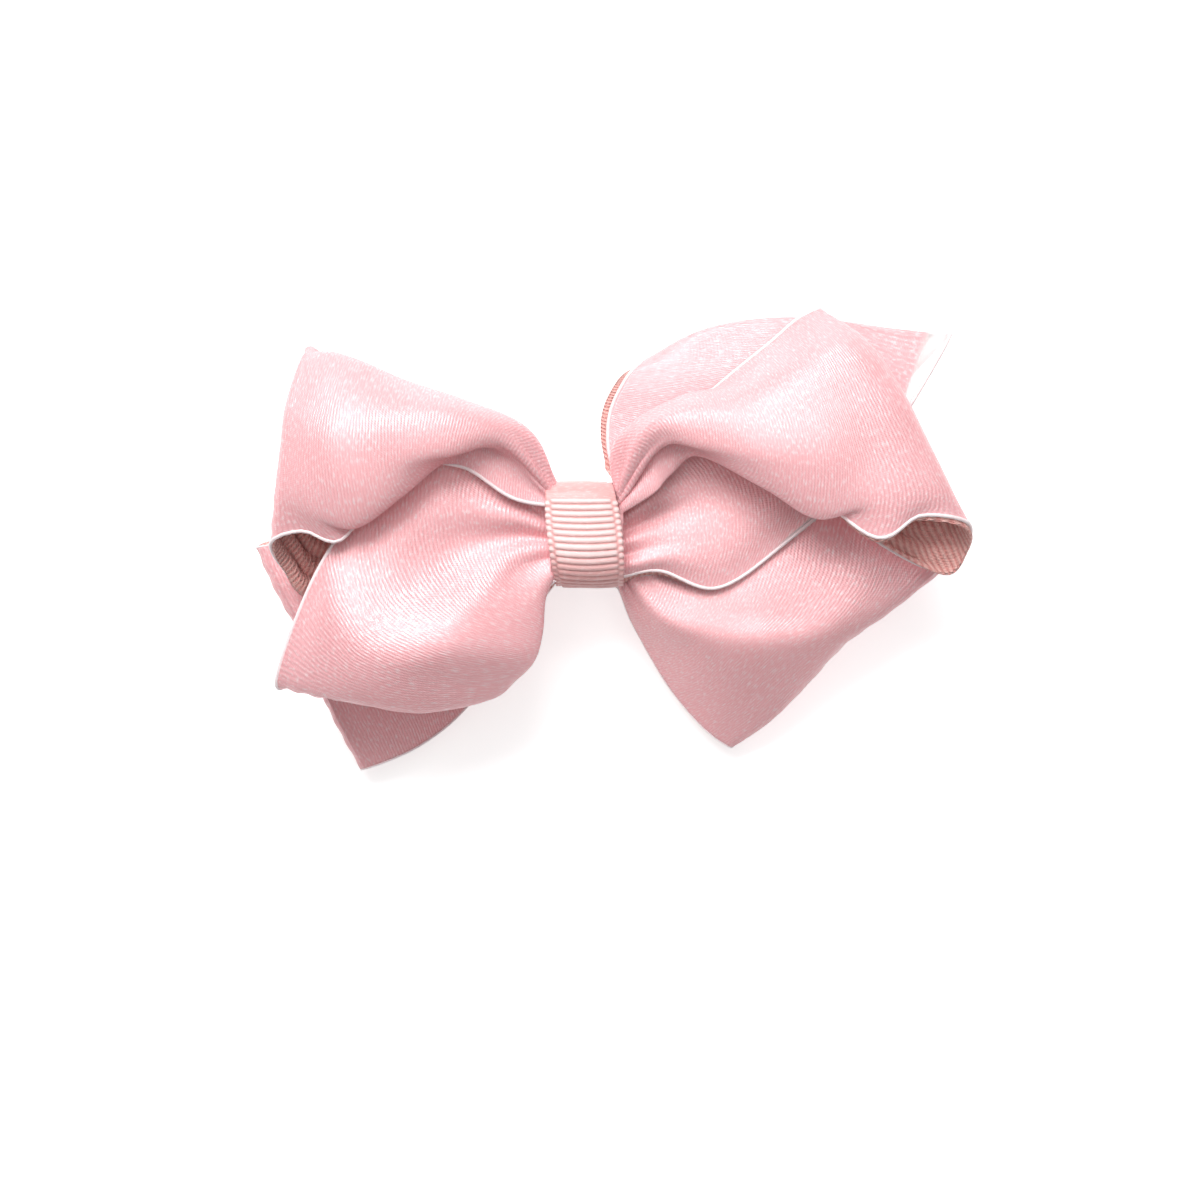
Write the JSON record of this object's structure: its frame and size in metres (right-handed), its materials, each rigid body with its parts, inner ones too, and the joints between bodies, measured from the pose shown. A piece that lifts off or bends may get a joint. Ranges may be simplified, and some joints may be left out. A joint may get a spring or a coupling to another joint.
{
  "type": "hair bow",
  "caption": "Twisted ribbon hair bow with lined, puffed loops around a banded knot, held on a sprung alligator clip.",
  "frame": {"origin": "on the flat underside of the clip's lower arm, straight below the middle of the knot", "axes": "+X along the bow's long way to its right-hand loops, +Y towards the bow's top edge, +Z out of the bow's front"},
  "size_m": [0.0891, 0.0569, 0.0225],
  "materials": {
    "shimmer_ribbon": "sheer shimmer ribbon, fine crosswise weft, soft gloss",
    "grosgrain_lining": "matt grosgrain with ribs across the ribbon",
    "grosgrain_band": "matt grosgrain with bright ribs",
    "thread": "waxed polyester thread",
    "glue": "set hot-melt glue",
    "clip_steel": "nickel-plated spring steel"
  },
  "bodies": {
    "bow": {"shimmer_loop_upper_left": "shimmer_ribbon", "shimmer_loop_lower_left": "shimmer_ribbon", "shimmer_loop_back_left": "shimmer_ribbon", "shimmer_loop_upper_right": "shimmer_ribbon", "shimmer_loop_back_right": "shimmer_ribbon", "shimmer_loop_lower_right": "shimmer_ribbon", "lining_loop_upper_left": "grosgrain_lining", "lining_loop_lower_left": "grosgrain_lining", "lining_loop_back_left": "grosgrain_lining", "lining_loop_upper_right": "grosgrain_lining", "lining_loop_back_right": "grosgrain_lining", "lining_loop_lower_right": "grosgrain_lining", "gathered_core": "shimmer_ribbon", "binding_thread": "thread", "knot_band": "grosgrain_band", "clip_ribbon": "grosgrain_lining", "glue_pad": "glue", "clip_upper_arm": "clip_steel", "clip_pin": "clip_steel", "clip_spring": "clip_steel"},
    "lower_jaw": {"clip_lower_arm": "clip_steel"}
  },
  "joints": [
    {"name": "clip_hinge", "type": "hinge", "parent": "bow", "child": "lower_jaw", "pos_m": [-0.01, 0, 0.0024], "axis": [0, 1, 0], "range_deg": [0, 18], "stiffness_Nm_per_rad": 0.12, "springref_deg": -14.32, "deforming": ["clip_spring"]}
  ]
}
